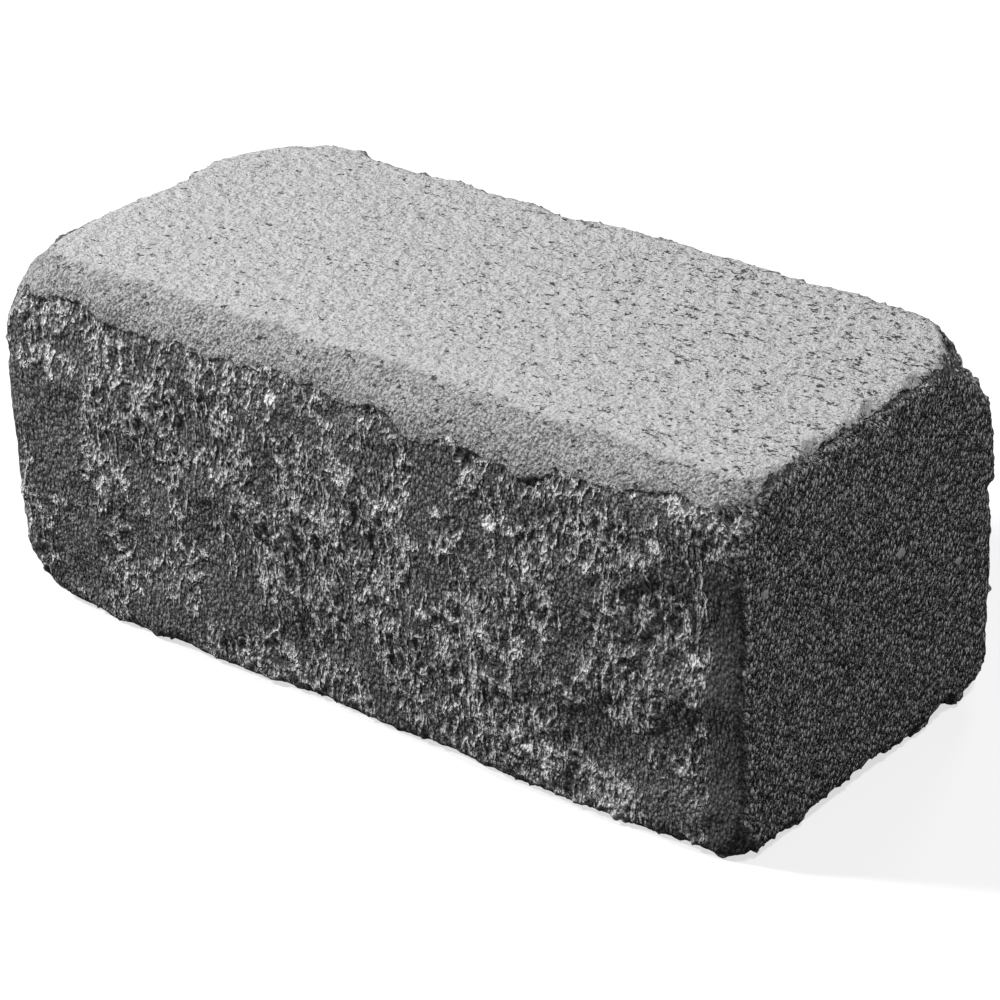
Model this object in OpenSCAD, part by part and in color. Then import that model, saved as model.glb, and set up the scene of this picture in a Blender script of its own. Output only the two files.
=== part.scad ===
// Tumbled walling block, cast in concrete as one piece and split along one long side.
// X runs along the block, the split face looks along -Y, and the bed lies on z = 0.

/* [Block] */
// Length between the two moulded ends
block_length = 300; // [200:1:420]
// Depth from the proudest point of the split face to the moulded back
block_depth = 140; // [100:1:210]
// Height from the bed to the pressed top
block_height = 125; // [85:1:190]

/* [Split face] */
// Depth of the fracture scars, behind the ridges between them
scar_depth = 5.5; // [0:0.5:8]
// Spacing of the fracture scars
scar_pitch = 26; // [14:1:45]
// Height of the broad swells of the face
swell_depth = 5; // [0:0.5:9]
// Spacing of the broad swells
swell_pitch = 70; // [40:1:120]
// Height of the crumbs left on the ridges
crumb_depth = 2; // [0:0.1:3]
// Spacing of the crumbs
crumb_pitch = 7; // [5:0.5:12]
// How far the face falls back at its margins: left, top, right, foot
margin_roll = [1, 3, 2.5, 3]; // [0:0.5:8]
// Width of the margins over which it falls back
margin_width = 20; // [10:1:40]
// Seed that places scars, swells and crumbs
split_seed = 23; // [1:1:500]

/* [Tumbled arrises] */
// Radius of the arrises along the block: front top, back top, back foot, front foot
long_wear = [14, 8, 7, 7]; // [2:0.5:18]
// Radius of the arrises from front to back: left top, right top, right foot, left foot
cross_wear = [11, 6, 9, 6]; // [2:0.5:18]
// Radius of the upright arrises: front left, front right, back right, back left
upright_wear = [6, 5, 8, 9]; // [2:0.5:18]
// How unevenly the arrises are worn, as a share of their radius
uneven = 0.35; // [0:0.05:0.6]

/* [Knocked corners] */
// Radius of the corners of the top: front left, front right, back right, back left
top_corners = [20, 13, 24, 26]; // [6:1:48]
// Radius of the corners of the foot: front left, front right, back right, back left
foot_corners = [16, 11, 13, 22]; // [6:1:48]

/* [Knocks] */
// Radius of the knocks in the top arrises: back, left end
knock_wear = [14, 17]; // [6:1:30]
// Length of the knocks along their arrises
knock_length = [10, 15]; // [8:1:40]
// Where the knocks lie, from -1 at the left or front to 1 at the right or back
knock_place = [-0.09, 0.06]; // [-0.6:0.01:0.6]

/* [Finish] */
// Number of facets that the split face is drawn with
facet_count = 1900; // [600:50:1900]

/* [Hidden] */

half = [block_length, block_depth, block_height] / 2;
// the skin stands this far outside the mould, so that the mould cuts true flats
skin = 0.5;
// share by which facets close up towards the arrises
crowding = 0.045;
ring_crowding = 0.12;
// how deep the swells and scars reach into the sides
split_reach = 26;
// how far wear can draw an arris in
reach = min(48, 0.95 * min(half));
// how far a scar's centre strays, in cells, and how shallow the shallowest is
scar_scatter = 0.42;
shallowest_scar = 0.3;
// layers of the lattice that place a scar across and up, and set its depth
scar_layers = [3, 7, 11];
// slices of the noise that give the swells and the crumbs
swell_slice = 5.3;
crumb_slice = 9.1;
// share by which the relief calms down at the margins: left, top, right, foot
calm = [0.6, 0, 0.5, 0.9];
// spacing of the large and small lumps on worn arrises, and how strong the small ones are
lump_pitch = 16;
small_lump_pitch = 7;
small_lump_share = 0.6;
// distance over which the wear of two arrises blends where they meet
arris_blend = 2;
// depth of wear at which it is most uneven, in mm
lump_limit = 3;
// how far a knocked corner spreads, in corner radii
corner_spread = 1.3;
// insets of the rings that close the back, in mm
back_insets = [3, 8, 16, 30];

columns_x = round(sqrt(facet_count * block_length / block_height));
columns_z = round(sqrt(facet_count * block_height / block_length));
around = 2 * (columns_x + columns_z);
// the sides get a set share of that number, so a longer rim has fewer rings
side_share = 1.74;
rings_along = round(side_share * facet_count / around);
grid_count = (columns_x + 1) * (columns_z + 1);
ring_count = rings_along + len(back_insets);

// ---- noise: seeded numbers on a lattice, with smooth steps between them

table_size = 1021;
table = rands(-1, 1, table_size, split_seed);
strides = [71, 157, 311];
// keeps the index above zero for negative cells
lift = 100 * table_size;

function lattice(i, j, k) = table[([i, j, k] * strides + lift) % table_size];
function ease(t) = t * t * (3 - 2 * t);
function mix(a, b, t) = a + (b - a) * t;

function lattice_edge(i, j, k, t) = mix(lattice(i, j, k), lattice(i + 1, j, k), t);
function lattice_face(i, j, k, t, u) = mix(lattice_edge(i, j, k, t), lattice_edge(i, j + 1, k, t), u);
function noise(p) =
    let (c = [for (v = p) floor(v)], t = [for (a = [0:2]) ease(p[a] - c[a])])
    mix(lattice_face(c.x, c.y, c.z, t.x, t.y), lattice_face(c.x, c.y, c.z + 1, t.x, t.y), t.z);

// ---- split face: dished fracture scars on broad swells, with crumbs on the ridges

// one scar: a shallow dish round its own centre, at a seeded place in cell i, j
function scar(x, z, i, j) =
    let (
        cx = i + 0.5 + scar_scatter * lattice(i, j, scar_layers[0]),
        cz = j + 0.5 + scar_scatter * lattice(i, j, scar_layers[1]),
        depth = mix(shallowest_scar, 1, (1 + lattice(i, j, scar_layers[2])) / 2)
    )
    depth * (1 - pow(norm([x - cx, z - cz]), 2));

function scars(x, z) =
    let (i = floor(x), j = floor(z))
    max(0, max([for (a = [-1:1], b = [-1:1]) scar(x, z, i + a, j + b)]));

// 1 at the edge of the face, 0 from the margin's width inwards
function margin(distance) = pow(max(0, 1 - distance / margin_width), 2);

// depth of the face behind a plane, at a place on it; the split starts straight at the foot
function raw_split(x, z) =
    let (
        dish = scars(x / scar_pitch, z / scar_pitch),
        swell = (1 + noise([x / swell_pitch, swell_slice, z / swell_pitch])) / 2,
        crumb = (1 + noise([x / crumb_pitch, crumb_slice, z / crumb_pitch])) / 2,
        near = [margin(x + half.x), margin(half.z - z), margin(half.x - x), margin(z + half.z)],
        kept = [for (side = [0:3]) 1 - calm[side] * near[side]]
    )
    (scar_depth * dish + swell_depth * swell + crumb_depth * (1 - dish) * crumb)
        * kept[0] * kept[1] * kept[2] * kept[3]
    + margin_roll * near;

function spot_x(i) = spread(i / columns_x, crowding) * half.x;
function spot_z(j) = spread(j / columns_z, crowding) * half.z;
// -1 to 1, closer together towards both ends
function spread(t, crowd) = 2 * (t - crowd * sin(360 * t)) - 1;

// ---- wear: a radius for each place on the box

function between(list, u, v) =
    mix(mix(list[0], list[1], u), mix(list[3], list[2], u), v);

function edge_wear(p) =
    let (
        s = [for (a = [0:2]) (p[a] / half[a] + 1) / 2],
        off = [for (a = [0:2]) half[a] - abs(p[a])],
        radius = [
            between(long_wear, s.y, 1 - s.z),
            between(cross_wear, s.x, 1 - s.z),
            between(upright_wear, s.x, s.y)
        ],
        near = [for (a = [0:2]) 1 / pow(norm([off[(a + 1) % 3], off[(a + 2) % 3]]) + arris_blend, 2)]
    )
    radius * near / (near.x + near.y + near.z);

CORNERS = [[-1, -1], [1, -1], [1, 1], [-1, 1]];

function corner_pull(p, corner, radius) =
    let (t = norm(p - corner) / (corner_spread * radius))
    t < 1 ? pow(1 - t * t, 2) : 0;

function corner_wear(p, base) =
    let (
        level = p.z > 0 ? 1 : -1,
        radii = p.z > 0 ? top_corners : foot_corners
    )
    max([for (c = [0:3])
        let (corner = [CORNERS[c].x * half.x, CORNERS[c].y * half.y, level * half.z])
        mix(base, radii[c], corner_pull(p, corner, radii[c]))
    ]);

KNOCKS = [
    [knock_place[0] * half.x, half.y, half.z],
    [-half.x, knock_place[1] * half.y, half.z]
];

function knock_pull(p, k) =
    let (t = norm(p - KNOCKS[k]) / knock_length[k])
    t < 1 ? pow(1 - t * t, 2) : 0;

function knocked(p, base) =
    max([for (k = [0:1]) mix(base, max(base, knock_wear[k]), knock_pull(p, k))]);

function wear(p) = knocked(p, corner_wear(p, edge_wear(p)));
// the small lumps are taken from another part of the lattice
function lumps(p) =
    noise(p / lump_pitch) + small_lump_share * noise(p / small_lump_pitch + [40, 40, 40]);

// ---- skin: each place on the box is drawn towards the core as far as its arris is worn

// the nearest place that lies at least the reach of the wear inside the box
function core_of(p) = [for (a = [0:2]) max(reach - half[a], min(half[a] - reach, p[a]))];

// share of the arm from core to place that is left, round an arris of this radius
function rounded(arm, radius) =
    let (
        power = ln(0.5) / ln(1 - (1 - sqrt(0.5)) * min(radius, reach) / reach),
        share = [for (v = arm) pow(abs(v) / reach, power)]
    )
    pow(share.x + share.y + share.z, -1 / power);

function worn(p) =
    let (
        core = core_of(p),
        arm = p - core,
        even_cut = 1 - rounded(arm, wear(p)),
        cut = even_cut + uneven * lumps(p) * min(even_cut, lump_limit / reach),
        n = arm / norm(arm)
    )
    core + arm * (1 - cut) + skin * [n.x, max(0, n.y), n.z];

// what the split takes off brings its proudest point to the front of the block's depth
proudest = min([
    for (j = [0:columns_z], i = [0:columns_x])
    let (q = worn([spot_x(i), -half.y, spot_z(j)]))
    q.y + half.y + raw_split(q.x, q.z)
]);

function split_back(q) =
    let (fade = max(0, 1 - (q.y + half.y) / split_reach))
    q + [0, (raw_split(q.x, q.z) - proudest) * fade, half.z];

function ring_depth(m) = half.y * spread(min(m, rings_along) / rings_along, ring_crowding);
function ring_inset(m) = m > rings_along ? back_insets[m - rings_along - 1] : 0;

function rim_cell(k) =
    k < columns_x ? [k, 0]
    : k < columns_x + columns_z ? [columns_x, k - columns_x]
    : k < 2 * columns_x + columns_z ? [2 * columns_x + columns_z - k, columns_z]
    : [0, around - k];

function ring_spot(m, k) =
    let (cell = rim_cell(k), keep = 1 - ring_inset(m) / half.z, keep_x = 1 - ring_inset(m) / half.x)
    [spot_x(cell.x) * keep_x, ring_depth(m), spot_z(cell.y) * keep];

function grid_index(i, j) = j * (columns_x + 1) + i;
function ring_index(m, k) =
    let (cell = rim_cell(k % around))
    m == 0 ? grid_index(cell.x, cell.y) : grid_count + (m - 1) * around + k % around;

points = [
    for (j = [0:columns_z], i = [0:columns_x]) split_back(worn([spot_x(i), -half.y, spot_z(j)])),
    for (m = [1:ring_count], k = [0:around - 1]) split_back(worn(ring_spot(m, k))),
    [0, half.y + skin, half.z]
];

function quad(a, b, c, d) = [[a, b, c], [a, c, d]];

front_faces = [
    for (j = [0:columns_z - 1], i = [0:columns_x - 1])
    each quad(grid_index(i, j), grid_index(i, j + 1), grid_index(i + 1, j + 1), grid_index(i + 1, j))
];
side_faces = [
    for (m = [0:ring_count - 1], k = [0:around - 1])
    each quad(ring_index(m, k), ring_index(m, k + 1), ring_index(m + 1, k + 1), ring_index(m + 1, k))
];
back_faces = [
    for (k = [0:around - 1]) [ring_index(ring_count, k), ring_index(ring_count, k + 1), len(points) - 1]
];

module worn_skin() {
    polyhedron(points, concat(front_faces, side_faces, back_faces), convexity = 8);
}

// the four faces that the mould gives and the bed, with room in front for the split
module mould() {
    room = 20;
    translate([-half.x, -half.y - room, 0])
        cube([block_length, block_depth + room, block_height]);
}

module wall_block() {
    color("dimgray") intersection() {
        mould();
        worn_skin();
    }
}

wall_block();
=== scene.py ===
import math
import bpy
import numpy as np
from mathutils import Matrix, Vector
from mathutils.bvhtree import BVHTree


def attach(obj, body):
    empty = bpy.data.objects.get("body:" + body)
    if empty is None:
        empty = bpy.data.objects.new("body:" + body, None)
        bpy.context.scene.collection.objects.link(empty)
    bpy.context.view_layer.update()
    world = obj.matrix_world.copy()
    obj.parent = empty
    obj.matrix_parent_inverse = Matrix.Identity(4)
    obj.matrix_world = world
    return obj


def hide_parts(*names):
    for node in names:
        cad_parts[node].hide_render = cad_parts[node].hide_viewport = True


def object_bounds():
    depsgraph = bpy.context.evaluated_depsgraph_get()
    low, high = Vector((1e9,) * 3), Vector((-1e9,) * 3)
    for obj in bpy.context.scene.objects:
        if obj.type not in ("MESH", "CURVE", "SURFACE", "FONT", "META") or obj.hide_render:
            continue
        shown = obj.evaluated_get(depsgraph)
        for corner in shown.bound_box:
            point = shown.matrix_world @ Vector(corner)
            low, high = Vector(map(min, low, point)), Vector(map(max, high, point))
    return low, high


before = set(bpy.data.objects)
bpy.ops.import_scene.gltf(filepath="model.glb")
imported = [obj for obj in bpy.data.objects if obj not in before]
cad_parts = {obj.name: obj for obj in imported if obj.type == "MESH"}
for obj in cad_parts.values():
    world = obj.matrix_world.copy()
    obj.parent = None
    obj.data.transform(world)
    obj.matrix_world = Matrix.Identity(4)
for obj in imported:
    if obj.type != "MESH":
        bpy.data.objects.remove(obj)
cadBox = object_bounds()
mm = 0.001
boxLow = np.array(cadBox[0]) / mm
boxHigh = np.array(cadBox[1]) / mm
print("frame loaded, the block measures", np.round(boxHigh - boxLow, 1), "mm")


# Noise on seeded lattices. Places and sizes are in millimetres.

def smoothStep(lower, upper, value):
    t = np.clip((value - lower) / (upper - lower), 0, 1)
    return t * t * (3 - 2 * t)


def cellValue(cell, seed):
    # a steady pseudo-random number from 0 to 1 for each lattice cell
    x, y, z = (cell[..., a].astype(np.uint32) for a in range(3))
    mixed = x * np.uint32(73856093) ^ y * np.uint32(19349663) ^ z * np.uint32(83492791)
    mixed = mixed + np.uint32(seed * 2654435 + 12345)
    for shift, factor in ((16, 2246822519), (13, 3266489917), (16, 668265263)):
        mixed = (mixed ^ (mixed >> np.uint32(shift))) * np.uint32(factor)
    return ((mixed ^ (mixed >> np.uint32(15))) / 4294967295.0)


def softNoise(places, size, seed):
    # value noise from -1 to 1
    spot = places / size
    cell = np.floor(spot).astype(np.int64)
    t = spot - cell
    t = t * t * t * (t * (t * 6 - 15) + 10)
    total = 0
    for corner in np.ndindex(2, 2, 2):
        step = np.array(corner)
        weight = np.prod(np.where(step == 1, t, 1 - t), axis=-1)
        total = total + weight * cellValue(cell + step, seed)
    return 2 * total - 1


def layeredNoise(places, size, seed, layers=3, keep=0.5):
    total, reach = 0, 0
    for layer in range(layers):
        part = keep ** layer
        total = total + part * softNoise(places, size / 2 ** layer, seed + 17 * layer)
        reach += part
    return total / reach


def pebbles(places, size, seed, jitter=0.9):
    # distance to the nearest of scattered points, in cells, and that point's own number
    spot = places / size
    cell = np.floor(spot).astype(np.int64)
    nearest = np.full(len(places), 9.0)
    mark = np.zeros(len(places))
    for step in np.ndindex(3, 3, 3):
        there = cell + np.array(step) - 1
        centre = there + 0.5 + jitter * (np.stack([cellValue(there, seed + a) for a in range(3)], -1) - 0.5)
        gap = np.linalg.norm(spot - centre, axis=-1)
        closer = gap < nearest
        mark = np.where(closer, cellValue(there, seed + 7), mark)
        nearest = np.where(closer, gap, nearest)
    return nearest, mark


# The block's mesh: a fine grid on the cast box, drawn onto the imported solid, then broken up.

blockShape = {
    "gridPitch": (0.8, 1.4, 0.8),  # mm between the working grid's points along X, Y and Z
    "triangles": 195000,       # what the finished piece keeps
    "rayReach": 42.0,          # mm from the box to the core that the rays start from
    "easing": 6,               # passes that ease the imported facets
    "scarPitch": 15.0,         # mm between smooth fracture scars
    "scarShare": -0.09,        # higher opens more scars between the ridges
    "scarDepth": 0.5,
    "scarBend": 3.5,           # mm that scars and ridges wander
    "drawnOut": 0.5,           # below 1 draws scars and crests out upwards
    "crestPitch": 5.5,         # mm between the crests of crumbs, which run along the break
    "crestHeight": 0.75,
    "crumbSize": 1.7,
    "crumbHeight": 0.28,
    "crumbBend": 1.8,          # mm that the crests wander
    "arrisCrumb": 2.6,         # mm, crumbs along the upright arris
    "arrisHeight": 0.9,
    "marginWidth": 14.5,       # mm, the smoother strip of the split beside the right end, painted in shade as a facet turned from the light
    "marginDepth": 0.3,
    "granuleSize": 2.7,        # mm, granules that stand along the worn arrises
    "granuleHeight": 0.8,
    "stonePitch": 13.0,        # mm between stones that show on the rough faces
    "stoneRadius": 1.7,
    "stoneRise": 0.15,
    # chips: place on the block, radius and depth, all in mm
    "chips": ((149, 41, 1, 8.5, 4.0), (148, 45, 122, 4.5, 1.5), (148, 26, 123, 5.0, 3.0),
              (148, 3, 123, 6.0, 3.5), (148, -12, 122, 4.0, 2.2), (148, -27, 123, 5.5, 3.4),
              (147, -44, 121, 4.5, 1.0), (149, 66, 70, 5.5, 2.0), (149, 68, 96, 5.0, 2.2),
              (-145, 16, 123, 6.0, 2.4)),
    # powdery spots of crushed grit on the split: place and radius, in mm
    "powder": ((-31, 105, 4.5), (57, 89, 5.0), (64, 89, 3.5), (119, 100, 4.5), (131, 65, 3.5),
               (69, 15, 3.5), (126, 26, 4.0), (44, 26, 3.0), (-94, 17, 3.0), (-131, 41, 2.5), (9, 57, 2.5)),
    # stones that lie bare on the right end: place and radius, in mm
    "bareStones": ((150, 14, 72, 2.2), (150, 46, 55, 2.0), (150, -22, 72, 1.6)),
    "grainSize": 1.9,
    "grainHeight": 0.28,       # mm, grains that stand on the moulded faces
    "pitSize": 2.6,
    "pitDepth": 0.6,           # mm, open pores of the pressed top
    "swellPitch": 11.0,
    "swellDepth": 0.35,        # mm, gentle swells of the top
    "lumpPitch": 4.5,
    "lumpHeight": 2.4,         # mm, lumps along the worn arrises
    "chipDepth": 2.0,
    "topDrop": 15.5,           # mm that the pressed skin reaches down the split side
    "archPitch": 30.0,
    "archRise": 6.5,           # mm that the skin's edge rises in arches
    "lipDepth": 1.0,           # mm that the split steps back below the skin
    "seed": 5,
}


def gridOnBox(low, high, pitch):
    counts = np.maximum(2, np.round((high - low) / np.array(pitch)).astype(int))
    lines = [np.linspace(low[a], high[a], counts[a] + 1) for a in range(3)]
    ids = np.full(counts + 1, -1, np.int64)
    shell = np.ones(counts + 1, bool)
    shell[1:-1, 1:-1, 1:-1] = False
    where = np.argwhere(shell)
    ids[shell] = np.arange(len(where))
    places = np.stack([lines[a][where[:, a]] for a in range(3)], 1)
    quads = []
    for axis in range(3):
        for side in (0, -1):
            sheet = np.take(ids, side, axis=axis)
            corners = [sheet[:-1, :-1], sheet[1:, :-1], sheet[1:, 1:], sheet[:-1, 1:]]
            outward = (axis != 1) == (side == -1)
            if not outward:
                corners = corners[::-1]
            quads.append(np.stack([c.ravel() for c in corners], 1))
    return places, np.concatenate(quads)


def pairsOf(quads):
    # every edge of the grid once
    edges = np.concatenate([quads[:, [a, (a + 1) % 4]] for a in range(4)])
    return np.unique(np.sort(edges, 1), axis=0)


def neighbourMean(values, pairs, count):
    number = np.bincount(pairs.ravel(), minlength=count)
    flat = values.reshape(count, -1)
    columns = [
        np.bincount(pairs[:, 0], flat[pairs[:, 1], k], count)
        + np.bincount(pairs[:, 1], flat[pairs[:, 0], k], count)
        for k in range(flat.shape[1])
    ]
    total = np.stack(columns, 1) / number[:, None]
    return total.reshape(values.shape)


def eased(values, pairs, passes, share=0.6):
    for _ in range(passes):
        values = values * (1 - share) + share * neighbourMean(values, pairs, len(values))
    return values


def outwardOf(places, quads):
    a, b, c, d = (places[quads[:, k]] for k in range(4))
    face = np.cross(c - a, d - b)
    sums = [
        sum(np.bincount(quads[:, k], face[:, axis], len(places)) for k in range(4))
        for axis in range(3)
    ]
    out = np.stack(sums, 1)
    return out / np.linalg.norm(out, axis=1)[:, None]


def drawnOntoSolid(places, solid):
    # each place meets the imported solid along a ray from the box's core
    shape = solid.data
    corners = [v.co / mm for v in shape.vertices]
    tree = BVHTree.FromPolygons(corners, [tuple(p.vertices) for p in shape.polygons])
    reach = blockShape["rayReach"]
    cores = np.clip(places, boxLow + reach, boxHigh - reach)
    arms = places - cores
    arms /= np.linalg.norm(arms, axis=1)[:, None]
    found = []
    for core, arm in zip(cores.tolist(), arms.tolist()):
        hit = tree.ray_cast(core, arm)[0]
        found.append(hit if hit else core)
    return np.array(found)


def blockZones(places, out):
    # shares of pressed top, split face and worn arris at each place
    shape = blockShape
    seed = shape["seed"]
    below = boxHigh[2] - places[:, 2]
    towardsSplit = smoothStep(0.0, 0.55, -out[:, 1])
    towardsEnds = smoothStep(0.2, 0.8, np.abs(out[:, 0]))
    rightward = smoothStep(95, 140, places[:, 0])
    arches = 1 - 2.4 * np.abs(layeredNoise(places * [1, 0.2, 0.2], shape["archPitch"], seed + 1, 2))
    reach = (1 - 0.6 * rightward) * (shape["topDrop"] - shape["archRise"] * arches)
    drop = 1.5 - 0.6 * towardsEnds + towardsSplit * reach
    drop = drop + (1.2 + 3.0 * towardsEnds) * layeredNoise(places, 5, seed + 2, 3, 0.7)
    pressed = smoothStep(0.9, -0.9, below - drop)
    lip = smoothStep(7, 1, below - drop) * (1 - pressed) * towardsSplit
    lip = lip * smoothStep(-0.5, 0.4, layeredNoise(places, 14, seed + 3, 2))
    facing = -eased(out[:, 1], gridPairs, 4) + 0.12 * layeredNoise(places, 4, seed + 4, 2)
    split = smoothStep(0.5, 0.66, facing) * (1 - pressed)
    inset = np.stack([boxHigh[0] - np.abs(places[:, 0]), boxHigh[1] - places[:, 1],
                      np.minimum(below, places[:, 2])], 1)
    worn = smoothStep(0.2, 1.3, inset.min(1)) * (1 - split) * (1 - 0.85 * pressed * towardsSplit)
    return pressed, split, worn, lip


def ridged(places, size, seed, layers=3):
    # crests along the zero lines of the noise, finer ones on top of coarser ones
    total, weight = 0, 1
    for layer in range(layers):
        height = np.abs(softNoise(places, size / 2 ** layer, seed + 13 * layer))
        crest = np.clip(1 - 2.2 * height, 0, 1) ** 1.5
        total = total + crest * weight * 0.65 ** layer
        weight = np.clip(0.25 + 1.1 * crest, 0, 1)
    return total


def crumbled(places, seed):
    # crests of broken crumbs, and small piled grains
    bend = np.stack([softNoise(places, 4.5, seed + 90 + a) for a in range(3)], 1)
    bent = places + blockShape["crumbBend"] * bend
    crests = ridged(bent * [1, 1, blockShape["drawnOut"]], blockShape["crestPitch"], seed + 40)
    near, mark = pebbles(bent * [1, 1, 0.8], blockShape["crumbSize"], seed + 50)
    return blockShape["crestHeight"] * crests + blockShape["crumbHeight"] * (1.2 * (mark - 0.5) - 0.8 * near)


def roughened(places, out, pressed, split, worn, lip):
    shape = blockShape
    seed = shape["seed"]
    # smooth fracture scars lie between stretches of ridges and crumbs
    bend = np.stack([layeredNoise(places, 9, seed + 20 + a, 3, 0.6) for a in range(3)], 1)
    bent = places + shape["scarBend"] * bend
    field = layeredNoise(bent * [1, 1, shape["drawnOut"] + 0.1], shape["scarPitch"], seed + 30, 3, 0.55)
    ridge = smoothStep(shape["scarShare"] - 0.15, shape["scarShare"] + 0.15, field)
    below = boxHigh[2] - places[:, 2]
    reach = shape["marginWidth"] + 3.5 * layeredNoise(places * [1, 1, 0.6], 12, seed + 35, 3)
    margin = split * smoothStep(reach + 1.5, reach - 1.5, boxHigh[0] - places[:, 0])
    margin = margin * smoothStep(20, 30, below)
    upright = smoothStep(0.45, 0.6, out[:, 0]) * smoothStep(0.15, 0.4, -out[:, 1])
    arris = upright * smoothStep(-0.2, 0.3, layeredNoise(places * [1, 1, 0.7], 9, seed + 36, 3))
    ridge = np.maximum(ridge * (1 - margin), arris)
    crumbs = crumbled(places, seed)
    mark = pebbles(places * [1, 1, 0.7], shape["arrisCrumb"], seed + 60)[1]
    crumbs = crumbs + shape["arrisHeight"] * arris * (mark - 0.4)
    broken = np.clip(split + worn, 0, 1)
    push = split * shape["scarDepth"] * (smoothStep(-0.5, 0.3, field) - 1)
    push = push + broken * (0.25 + 0.75 * np.maximum(ridge, worn)) * (crumbs - 0.9)
    push = push - shape["marginDepth"] * margin - shape["lipDepth"] * lip
    # scars, with the margin strip doubled: past 1 the shader paints shade there
    scar = split * (1 - ridge) * (1 + margin)
    # the pressed skin rolls down the split side with grit in it
    border = 0.14 * layeredNoise(places, 9, seed + 65, 4, 0.7)
    # the roll's share also darkens its colour in the shader: partly wear, partly painted shade
    rolled = pressed * smoothStep(0.08, 0.36, border - out[:, 1])
    push = push + 0.12 * rolled * (crumbs - 0.4)
    # moulded faces: grains held back by the mould
    moulded = (1 - pressed) * (1 - split)
    near, mark = pebbles(places * [1, 1, 0.7], shape["grainSize"], seed + 70)
    push = push + moulded * shape["grainHeight"] * (mark - 0.9 - 0.8 * near)
    # open pores of the top, and its gentle waves
    pores = layeredNoise(places, shape["pitSize"], seed + 80, 2)
    push = push - pressed * shape["pitDepth"] * smoothStep(0.38, 0.75, pores)
    swells = layeredNoise(places, shape["swellPitch"], seed + 85, 3)
    push = push - pressed * shape["swellDepth"] * (0.6 - swells)
    # lumps and chips that run along the arrises, calmer at the back and the left end
    calm = smoothStep(0.1, 0.5, np.maximum(out[:, 1], -out[:, 0]))
    lumps = layeredNoise(places, shape["lumpPitch"], seed + 88, 3, 0.6)
    push = push + shape["lumpHeight"] * worn * (1 - split) * (1 - 0.6 * calm) * lumps
    chips = smoothStep(0.15, 0.6, layeredNoise(places, 9, seed + 90, 2)) * worn
    push = push - shape["chipDepth"] * chips
    ragged = 1 + 0.35 * layeredNoise(places, 4, seed + 95, 2)
    # chips, whose colour is darkened as painted shade through the crest mark
    chipShade = 0.7 * chips
    for x, y, z, radius, depth in shape["chips"]:
        gap = np.linalg.norm(places - [x, y, z], axis=1) * ragged
        sunk = smoothStep(radius, 0.4 * radius, gap)
        push = push - depth * sunk
        chipShade = np.maximum(chipShade, sunk)
    # granules along the arrises
    edge = np.clip(worn * (1 - split) + 0.12 * rolled, 0, 1)
    near, mark = pebbles(places, shape["granuleSize"], seed + 110)
    edge = edge * (1 - 0.8 * calm)
    dome = np.sqrt(np.clip(1 - (near / 0.62) ** 2, 0, 1))
    push = push + edge * shape["granuleHeight"] * (dome * (0.3 + mark) - 0.5)
    # stones that show on the rough faces
    near, mark = pebbles(places, shape["stonePitch"], seed + 120)
    radius = shape["stoneRadius"] / shape["stonePitch"] * (0.6 + 0.5 * mark) * ragged
    stone = smoothStep(radius, 0.75 * radius, near) * (mark > 0.82) * (1 - pressed) * (1 - split)
    for x, y, z, radius in shape["bareStones"]:
        gap = np.linalg.norm(places - [x, y, z], axis=1) * ragged
        stone = np.maximum(stone, smoothStep(radius, 0.75 * radius, gap))
    push = push * (1 - 0.7 * stone) + shape["stoneRise"] * stone
    powder = np.zeros(len(places))
    for x, z, radius in shape["powder"]:
        gap = np.hypot(places[:, 0] - x, places[:, 2] - z) * ragged
        powder = np.maximum(powder, split * smoothStep(radius, 0.3 * radius, gap))
    powder = np.maximum(powder, 0.8 * lip * smoothStep(0.25, 0.55, layeredNoise(places, 10, seed + 130, 2)))
    moved = places + out * push[:, None]
    # the crumbs' height as tone for the shader: painted shade low down and in the chips, paler on the crests
    crest = np.clip(0.15 + 0.6 * crumbs * (1 - 0.7 * np.minimum(scar, 1)) - 0.4 * chipShade, 0, 1.3)
    return np.clip(moved, boxLow, boxHigh), scar, crest, rolled, stone, powder


def meshPiece(name, places, faces, marks):
    mesh = bpy.data.meshes.new(name)
    mesh.vertices.add(len(places))
    mesh.vertices.foreach_set("co", (places * mm).ravel())
    mesh.loops.add(faces.size)
    mesh.loops.foreach_set("vertex_index", faces.ravel())
    mesh.polygons.add(len(faces))
    mesh.polygons.foreach_set("loop_start", np.arange(0, faces.size, faces.shape[1]))
    mesh.update(calc_edges=True)
    for key, values in marks.items():
        layer = mesh.attributes.new(key, "FLOAT", "POINT")
        layer.data.foreach_set("value", values)
    piece = bpy.data.objects.new(name, mesh)
    bpy.context.scene.collection.objects.link(piece)
    mesh.polygons.foreach_set("use_smooth", np.ones(len(faces), bool))
    return piece


def thinned(piece, triangles):
    # flat stretches give up faces first, the split face keeps its own
    count = 2 * len(piece.data.polygons)
    thin = piece.modifiers.new("thin", "DECIMATE")
    thin.ratio = triangles / count
    bpy.context.view_layer.update()
    graph = bpy.context.evaluated_depsgraph_get()
    slim = bpy.data.meshes.new_from_object(piece.evaluated_get(graph), depsgraph=graph)
    piece.modifiers.clear()
    old = piece.data
    piece.data = slim
    slim.name = old.name + "Slim"
    bpy.data.meshes.remove(old)
    corners = np.empty(3 * len(slim.vertices))
    slim.vertices.foreach_get("co", corners)
    inside = np.clip(corners.reshape(-1, 3), boxLow * mm, boxHigh * mm)
    slim.vertices.foreach_set("co", inside.ravel())
    slim.update()


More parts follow.
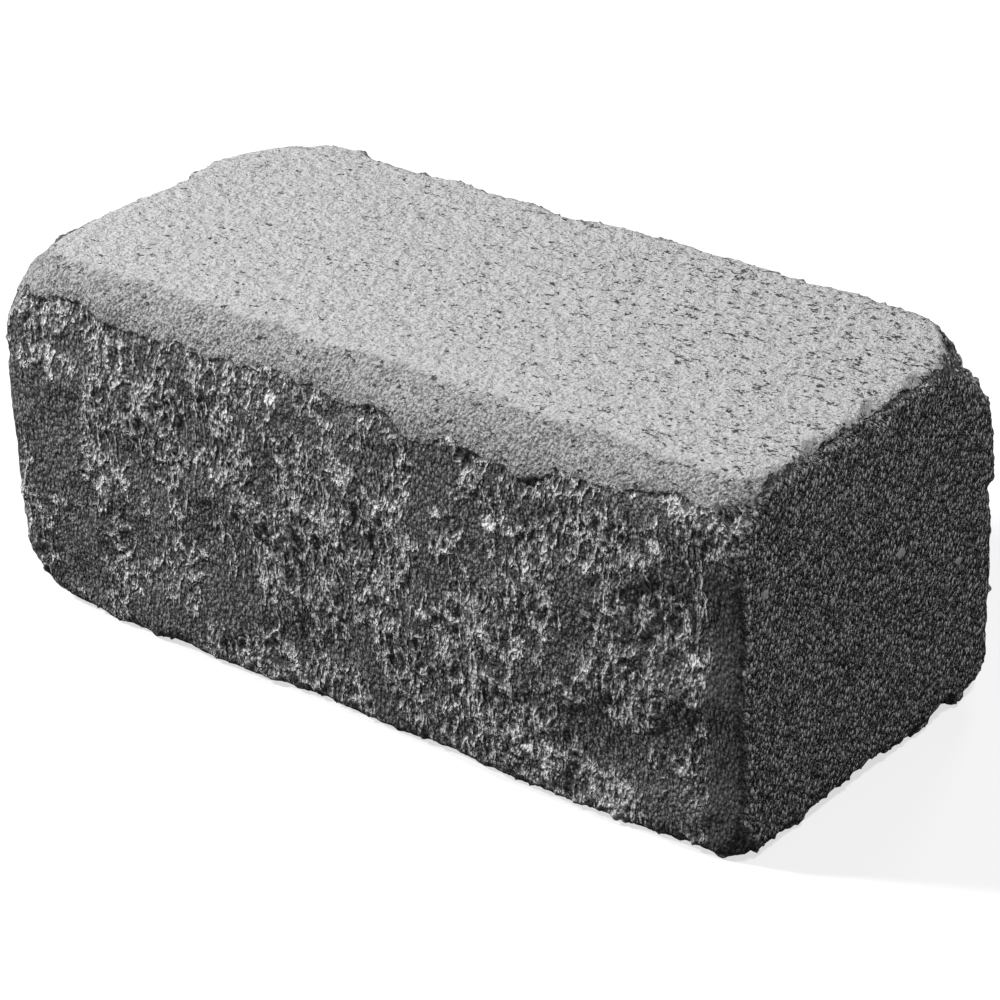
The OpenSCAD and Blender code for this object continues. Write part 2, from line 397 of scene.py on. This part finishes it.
gridPlaces, gridQuads = gridOnBox(boxLow, boxHigh, blockShape["gridPitch"])
gridPairs = pairsOf(gridQuads)
print("grid laid,", len(gridPlaces), "points")
places = drawnOntoSolid(gridPlaces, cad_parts["wall_block"])
places = eased(places, gridPairs, blockShape["easing"])
print("grid drawn onto the packed solid")
outward = eased(outwardOf(places, gridQuads), gridPairs, 3)
outward /= np.linalg.norm(outward, axis=1)[:, None]
pressed, split, worn, lip = blockZones(places, outward)
places, scar, crest, rolled, stone, powder = roughened(places, outward, pressed, split, worn, lip)
pointMarks = {"pressed": pressed, "split": split, "worn": worn, "scar": scar, "crest": crest,
              "rolled": rolled, "stone": stone, "powder": powder}
block = meshPiece("tumbledBlock", places, gridQuads, pointMarks)
thinned(block, blockShape["triangles"])
print("block modelled,", sum(len(p.vertices) - 2 for p in block.data.polygons), "triangles")


# The concrete: one material for all faces, steered by the marks that the mesh carries.

concreteLook = {
    "topColour": (0.44, 0.44, 0.44),
    "topShade": (0.31, 0.31, 0.31),
    # the roll band's tone: partly wear, partly painted shade where it turns from the light
    "rollWearAndShadeColour": (0.35, 0.35, 0.35),
    "rollShade": (0.08, 0.08, 0.08),
    # painted shadow in the pits of the top
    "pitShadowColour": (0.04, 0.04, 0.04),
    "splitLight": (0.78, 0.78, 0.78),
    # painted shade in the hollows between crumbs
    "splitHollowShade": (0.07, 0.07, 0.07),
    "scarColour": (0.23, 0.23, 0.23),
    # painted shade in the gaps between grains and on the margin strip
    "scarDark": (0.04, 0.04, 0.04),
    "mouldColour": (0.48, 0.48, 0.48),
    # painted shade in the gaps between the grains
    "mouldGapShade": (0.02, 0.02, 0.02),
    "stoneColour": (0.42, 0.42, 0.42),
    "powderColour": (0.8, 0.8, 0.8),
    "roughness": (0.82, 0.97),
    "specular": 0.08,
    "pitLevels": (0.62, 0.57),  # lower opens more pits, on the calm and the harsh side of the top
    "wornPitLevel": 0.5,
    "pitDrawnOut": 0.62,       # below 1 draws the pits out
    "pitTurn": -0.7,           # radians, the way that they are drawn, as the shadows of small steps run
    "pitStrength": 0.95,       # shares from 0 to 1 that a finish covers what is below it
    "rollStrength": 0.8,
    "frayStrength": 0.85,
    "stoneStrength": 0.85,
    "pitRelief": -2.5,
    "waveRelief": 6.5,
    "crumbRelief": 5.0,
    "grainBump": 0.0005,       # metres, for a relief of 1
    "grainSize": 1.05,         # mm, as are the sizes that follow
    "dustSize": 0.6,
    "smallSize": 0.5,
    "standingSize": 1.1,
    "sandSize": 1.0,
    "waveSize": 3.5,
    "pitSize": 2.1,
    "crestSize": 3.9,
}


class Graph:
    # shorthands for one node tree
    def __init__(self, material):
        self.tree = material.node_tree
        self.tree.nodes.clear()

    def add(self, kind, inputs=None, **settings):
        node = self.tree.nodes.new(kind)
        for key, value in settings.items():
            setattr(node, key, value)
        for key, value in (inputs or {}).items():
            self.plug(node.inputs[key], value)
        return node

    def plug(self, socket, value):
        if isinstance(value, bpy.types.NodeSocket):
            self.tree.links.new(value, socket)
        elif isinstance(value, bpy.types.Node):
            self.tree.links.new(value.outputs[0], socket)
        else:
            socket.default_value = value

    def maths(self, operation, first, second):
        return self.add("ShaderNodeMath", {0: first, 1: second}, operation=operation).outputs[0]

    def stretch(self, value, lower, upper, low=0.0, high=1.0):
        node = self.add("ShaderNodeMapRange", {0: value, 1: lower, 2: upper, 3: low, 4: high},
                        interpolation_type="SMOOTHSTEP")
        return node.outputs[0]

    def between(self, value, lower, width):
        # 0 below a level that may itself vary, 1 above it by the width
        upper = self.maths("ADD", lower, width)
        node = self.add("ShaderNodeMapRange", {0: value, 1: lower, 2: upper},
                        interpolation_type="SMOOTHSTEP")
        return node.outputs[0]

    def blend(self, share, first, second):
        node = self.add("ShaderNodeMix", data_type="RGBA")
        for index, value in ((0, share), (6, first), (7, second)):
            if isinstance(value, tuple) and len(value) == 3:
                value = (*value, 1)
            self.plug(node.inputs[index], value)
        return node.outputs[2]

    def lerp(self, share, first, second):
        node = self.add("ShaderNodeMix", data_type="FLOAT")
        for index, value in ((0, share), (2, first), (3, second)):
            self.plug(node.inputs[index], value)
        return node.outputs[0]

    def mark(self, name):
        return self.add("ShaderNodeAttribute", attribute_name=name).outputs["Fac"]

    def scaled(self, where, scale, turn=(0, 0, 0)):
        node = self.add("ShaderNodeMapping", {"Vector": where, "Rotation": turn, "Scale": scale})
        return node.outputs[0]

    def noise(self, where, size, detail, rough):
        node = self.add("ShaderNodeTexNoise", {"Vector": where, "Scale": 1 / (size * mm),
                                               "Detail": detail, "Roughness": rough})
        return node.outputs["Fac"]

    def crests(self, where, size):
        # thin crests with finer ones along them
        node = self.add("ShaderNodeTexNoise",
                        {"Vector": where, "Scale": 1 / (size * mm), "Detail": 2, "Roughness": 0.7,
                         "Offset": 0.9, "Gain": 2.0},
                        noise_type="RIDGED_MULTIFRACTAL", normalize=False)
        return self.stretch(node.outputs["Fac"], 0.5, 1.9)

    def grains(self, where, size, edge=0.62):
        # the face of each grain, a number of its own, and its rounded height
        cells = self.cells(where, size)
        gap = cells.outputs["Distance"]
        return self.stretch(gap, edge, 0.44), self.own(cells), self.stretch(gap, 0.85, 0.05)

    def own(self, cells):
        return self.add("ShaderNodeSeparateColor", {0: cells.outputs["Color"]}).outputs[0]

    def total(self, *parts):
        # a weighted sum
        result = 0.0
        for value, weight in parts:
            node = self.add("ShaderNodeMath", {0: value, 1: weight, 2: result}, operation="MULTIPLY_ADD")
            result = node.outputs[0]
        return result

    def cells(self, where, size):
        return self.add("ShaderNodeTexVoronoi", {"Vector": where, "Scale": 1 / (size * mm)})


def concreteMaterial():
    look = concreteLook
    material = bpy.data.materials.new("anthraciteConcrete")
    material.use_nodes = True
    g = Graph(material)
    where = g.add("ShaderNodeTexCoord").outputs["Object"]
    tall = g.scaled(where, (1, 1, 0.7))
    upright = g.scaled(where, (1, 1, 0.5))
    pressed, split, worn, scar, crest, rolled, stone, powder = (g.mark(n) for n in pointMarks)

    # grit that all faces share: rounded grains, with painted shade in the gaps between them
    grain, grainOwn, grainDome = g.grains(tall, look["grainSize"])
    small, smallOwn = g.grains(where, look["smallSize"])[:2]
    dust = g.stretch(g.noise(where, look["dustSize"], 1, 0.6), 0.42, 0.58)
    coarse = g.maths("MULTIPLY", grain, g.stretch(grainOwn, 0.15, 0.85, 0.08, 1.0))
    fine = g.maths("MULTIPLY", small, g.stretch(smallOwn, 0.0, 1.0, 0.0, 0.7))
    grit = g.total((g.maths("MAXIMUM", coarse, fine), 0.8), (dust, 0.2))
    gritHeight = g.total((grainDome, 1.2), (grainOwn, 0.5))

    # pressed top: pale fine sand, with short pits painted dark as shadow, drawn out one way as the shadows
    # of small steps run
    sand = g.noise(where, look["sandSize"], 1, 0.7)
    waves = g.noise(where, look["waveSize"], 3, 0.6)
    swept = g.scaled(where, (look["pitDrawnOut"], 1, 1), (0, 0, look["pitTurn"]))
    spot = g.add("ShaderNodeSeparateXYZ", {0: where}).outputs
    harsh = g.stretch(g.total((waves, 0.6), (spot[0], 1.1), (spot[1], 1.1)), 0.25, 0.5)
    pits = g.noise(swept, look["pitSize"], 3, 0.8)
    level = g.lerp(worn, g.lerp(harsh, *look["pitLevels"]), look["wornPitLevel"])
    pits = g.between(pits, level, 0.03)
    top = g.blend(g.stretch(sand, 0.36, 0.56), look["topShade"], look["topColour"])
    rollGrit = g.stretch(g.total((grit, 0.5), (sand, 0.9)), 0.4, 0.85)
    rollTone = g.blend(rollGrit, look["rollShade"], look["rollWearAndShadeColour"])
    # the roll band darker: partly wear, partly painted shade
    top = g.blend(g.maths("MULTIPLY", rolled, look["rollStrength"]), top, rollTone)
    # the pits' dark is painted shadow
    top = g.blend(g.maths("MULTIPLY", pits, look["pitStrength"]), top, look["pitShadowColour"])
    flatHeight = g.total((sand, 1.2), (waves, look["waveRelief"]), (pits, look["pitRelief"]))
    rollHeight = g.total((gritHeight, 0.55), (sand, 1.5), (waves, 1.5))
    topHeight = g.lerp(rolled, flatHeight, rollHeight)

    # split face: pale crumbs over hollows painted dark as shade, and smoother, darker scars
    crumb = g.crests(upright, look["crestSize"])
    # the crumbs' height as tone: painted shade in the hollows, paler on the crests
    crumbShade = g.total((grit, 0.5), (crumb, 0.63), (crest, 0.4))
    rubbleColour = g.blend(g.stretch(crumbShade, 0.25, 1.05), look["splitHollowShade"], look["splitLight"])
    scarTone = g.blend(g.stretch(grit, 0.1, 0.8), look["scarDark"], look["scarColour"])
    # past 1, on the margin strip, the scar tone turns to painted shade
    scarTone = g.blend(g.stretch(scar, 1.0, 1.8, 0.0, 0.6), scarTone, look["scarDark"])
    scarred = g.stretch(g.total((scar, 1.0), (crumb, -0.5)), 0.3, 0.6)
    broken = g.blend(scarred, rubbleColour, scarTone)
    brokenGrit = g.maths("MULTIPLY", gritHeight, g.lerp(scarred, 1.0, 0.6))
    brokenCrumb = g.maths("MULTIPLY", crumb, g.lerp(scarred, 1.0, 0.2))
    brokenHeight = g.total((brokenGrit, 1.0), (brokenCrumb, look["crumbRelief"]))

    # moulded faces: open grain, drawn upwards as the mould was lifted, with painted shade in the gaps
    # between the grains
    standing, standingOwn, standingDome = g.grains(upright, look["standingSize"], 0.57)
    standing = g.maths("MULTIPLY", standing, g.stretch(standingOwn, 0.15, 0.85, 0.1, 1.0))
    mouldGrit = g.total((g.maths("MAXIMUM", standing, fine), 0.8), (dust, 0.2))
    mould = g.blend(g.stretch(mouldGrit, 0.12, 0.8), look["mouldGapShade"], look["mouldColour"])
    # worn arrises: the same painted shade in the hollows between crumbs
    frayedShade = g.total((crumb, 0.5), (coarse, 0.5), (crest, 0.5))
    frayedShadeColour = g.blend(g.stretch(frayedShade, 0.4, 1.05), look["splitHollowShade"], look["splitLight"])
    mould = g.blend(g.maths("MULTIPLY", worn, look["frayStrength"]), mould, frayedShadeColour)
    mouldHeight = g.total((standingDome, 1.8), (standingOwn, 0.7), (g.maths("MULTIPLY", worn, crumb), 3.0))

    pressed = g.stretch(g.total((pressed, 1.0), (crumb, 0.4)), 0.5, 0.9)
    colour = g.blend(split, mould, broken)
    colour = g.blend(pressed, colour, top)
    relief = g.lerp(split, mouldHeight, brokenHeight)
    relief = g.lerp(pressed, relief, topHeight)

    # stones that lie bare, and powdery spots
    stone = g.stretch(g.total((stone, 1.0), (crumb, -0.25)), 0.3, 0.6)
    colour = g.blend(g.maths("MULTIPLY", stone, look["stoneStrength"]), colour, look["stoneColour"])
    relief = g.lerp(stone, relief, 0.6)
    powder = g.stretch(g.total((powder, 1.0), (grit, 0.4), (crumb, 0.5)), 0.75, 1.25)
    colour = g.blend(powder, colour, look["powderColour"])

    rough = g.stretch(dust, 0.3, 0.7, *look["roughness"])
    bump = g.add("ShaderNodeBump", {"Strength": 1.0, "Distance": look["grainBump"], "Height": relief})
    shader = g.add("ShaderNodeBsdfPrincipled", {"Base Color": colour, "Roughness": rough, "Normal": bump})
    shader.inputs["Specular IOR Level"].default_value = look["specular"]
    g.add("ShaderNodeOutputMaterial", {"Surface": shader})
    return material


block.data.materials.clear()
block.data.materials.append(concreteMaterial())
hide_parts("wall_block")
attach(block, "root")
print("concrete finished")


# The studio: a pale floor and three soft lamps.

studio = {
    "floorSize": 6.0,
    "floorColour": (0.3, 0.3, 0.3),
    "floorBounce": (0.12, 0.12, 0.12),
    "floorLift": 0.68,
    "skyLevel": 0.05,
    "lampAim": (0, 0, 0.06),
    "keyPower": 30.0,
    "keySize": 0.2,
    "keyPlace": (-1.0, -0.62, 0.98),
    "topPower": 15.0,
    "topSize": 0.2,
    "topPlace": (0.75, -0.2, 1.4),
    "backPower": 8.0,
    "backSize": 0.4,
    "backPlace": (-0.4, 1.5, 1.0),
}


def makeFloor():
    look = studio
    bpy.ops.mesh.primitive_plane_add(size=look["floorSize"], location=(0, 0, 0))
    floor = bpy.context.object
    floor.name = "studioFloor"
    material = bpy.data.materials.new("paleFloor")
    material.use_nodes = True
    g = Graph(material)
    seen = g.add("ShaderNodeLightPath").outputs["Is Camera Ray"]
    bright = g.add("ShaderNodeBsdfDiffuse", {"Color": (*look["floorColour"], 1)})
    lift = g.add("ShaderNodeEmission", {"Color": (1, 1, 1, 1), "Strength": look["floorLift"]})
    shown = g.add("ShaderNodeAddShader", {0: bright, 1: lift})
    bounce = g.add("ShaderNodeBsdfDiffuse", {"Color": (*look["floorBounce"], 1)})
    both = g.add("ShaderNodeMixShader", {0: seen, 1: bounce, 2: shown})
    g.add("ShaderNodeOutputMaterial", {"Surface": both})
    floor.data.materials.append(material)


def softLamp(name, place, size, power):
    lamp = bpy.data.lights.new(name, "AREA")
    lamp.shape = "DISK"
    lamp.size = size
    lamp.energy = power
    holder = bpy.data.objects.new(name, lamp)
    holder.location = place
    aim = Vector(studio["lampAim"]) - Vector(place)
    holder.rotation_euler = aim.to_track_quat("-Z", "Y").to_euler()
    bpy.context.scene.collection.objects.link(holder)


def makeSky(level):
    world = bpy.data.worlds.new("studioSky")
    world.use_nodes = True
    sky = world.node_tree.nodes["Background"]
    sky.inputs["Color"].default_value = (1, 1, 1, 1)
    sky.inputs["Strength"].default_value = level
    bpy.context.scene.world = world


makeFloor()
makeSky(studio["skyLevel"])
softLamp("keyLamp", studio["keyPlace"], studio["keySize"], studio["keyPower"])
softLamp("topLamp", studio["topPlace"], studio["topSize"], studio["topPower"])
softLamp("backLamp", studio["backPlace"], studio["backSize"], studio["backPower"])
print("studio lit")


# The camera: angles in degrees, distances in metres.

cameraView = {
    "azimuth": 40.5,
    "elevation": 27.66,
    "roll": -2.49,
    "distance": 1.190,
    "slide": (0.0041, -0.0106),
    "lens": 133.2,             # mm, on a sensor 36 mm wide
}


def makeCamera():
    view = cameraView
    turn, lift, roll = (math.radians(view[k]) for k in ("azimuth", "elevation", "roll"))
    back = Vector((math.sin(turn) * math.cos(lift), -math.cos(turn) * math.cos(lift), math.sin(lift)))
    right = Vector((math.cos(turn), math.sin(turn), 0))
    up = back.cross(right)
    across = math.cos(roll) * right + math.sin(roll) * up
    along = -math.sin(roll) * right + math.cos(roll) * up
    centre = Vector(((boxLow + boxHigh) / 2 * mm).tolist())
    slide = view["slide"]
    camera = bpy.data.cameras.new("camera")
    camera.lens = view["lens"]
    camera.sensor_width = 36
    holder = bpy.data.objects.new("camera", camera)
    turned = Matrix((across, along, back)).transposed().to_4x4()
    turned.translation = centre + slide[0] * across + slide[1] * along + view["distance"] * back
    holder.matrix_world = turned
    bpy.context.scene.collection.objects.link(holder)
    bpy.context.scene.camera = holder


makeCamera()
bpy.context.scene.view_settings.view_transform = "Standard"
